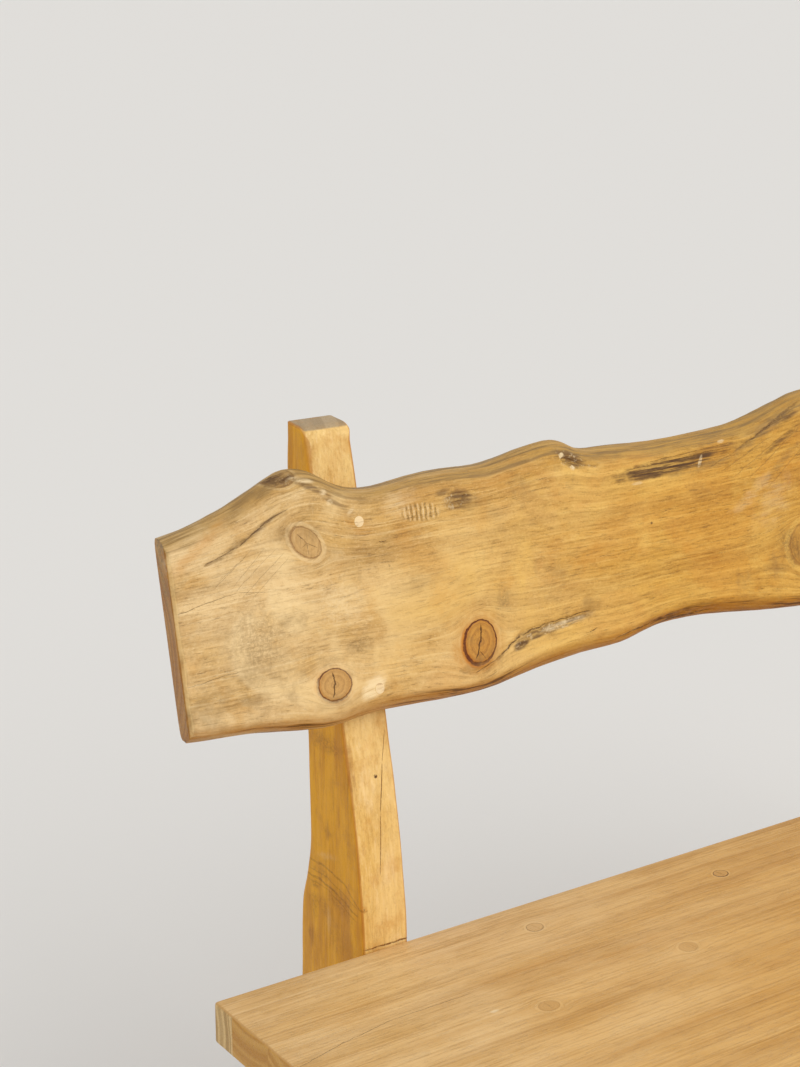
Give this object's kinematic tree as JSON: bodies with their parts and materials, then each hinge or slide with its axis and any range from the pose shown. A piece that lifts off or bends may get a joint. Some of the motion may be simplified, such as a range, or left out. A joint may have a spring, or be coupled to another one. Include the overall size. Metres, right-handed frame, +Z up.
{
  "type": "bench",
  "caption": "Rustic backed bench: live-edge back board on shaped plank posts, glued-up plank seat, pegged end frames and a wedged stretcher.",
  "frame": {"origin": "middle of the whole bench's footprint box, on the floor", "axes": "+X along the bench to a sitter's left, +Y to the back, +Z up"},
  "size_m": [1.52, 0.5518, 0.9275],
  "materials": {
    "seat_wood": "satin clear oil on glued-up pine, honey tan",
    "board_wood": "satin clear varnish on live-edge pine, pale honey to golden",
    "frame_wood": "satin amber varnish on pine plank",
    "peg_wood": "pale hardwood, varnished with the frame",
    "zinc_steel": "zinc-plated steel"
  },
  "bodies": {
    "root": {"seat_stave_1": "seat_wood", "seat_stave_2": "seat_wood", "seat_stave_3": "seat_wood", "seat_stave_4": "seat_wood", "seat_stave_5": "seat_wood", "seat_stave_6": "seat_wood", "seat_stave_7": "seat_wood", "seat_stave_8": "seat_wood", "backrest_board": "board_wood", "long_stretcher": "frame_wood", "left_rear_post": "frame_wood", "left_front_leg": "frame_wood", "left_seat_bearer": "frame_wood", "left_side_rail": "frame_wood", "left_tusk_wedge": "peg_wood", "left_frame_pegs": "peg_wood", "left_board_screws": "zinc_steel", "left_board_plugs": "peg_wood", "left_seat_screws": "zinc_steel", "right_rear_post": "frame_wood", "right_front_leg": "frame_wood", "right_seat_bearer": "frame_wood", "right_side_rail": "frame_wood", "right_tusk_wedge": "peg_wood", "right_frame_pegs": "peg_wood", "right_board_screws": "zinc_steel", "right_board_plugs": "peg_wood", "right_seat_screws": "zinc_steel"}
  },
  "joints": []
}
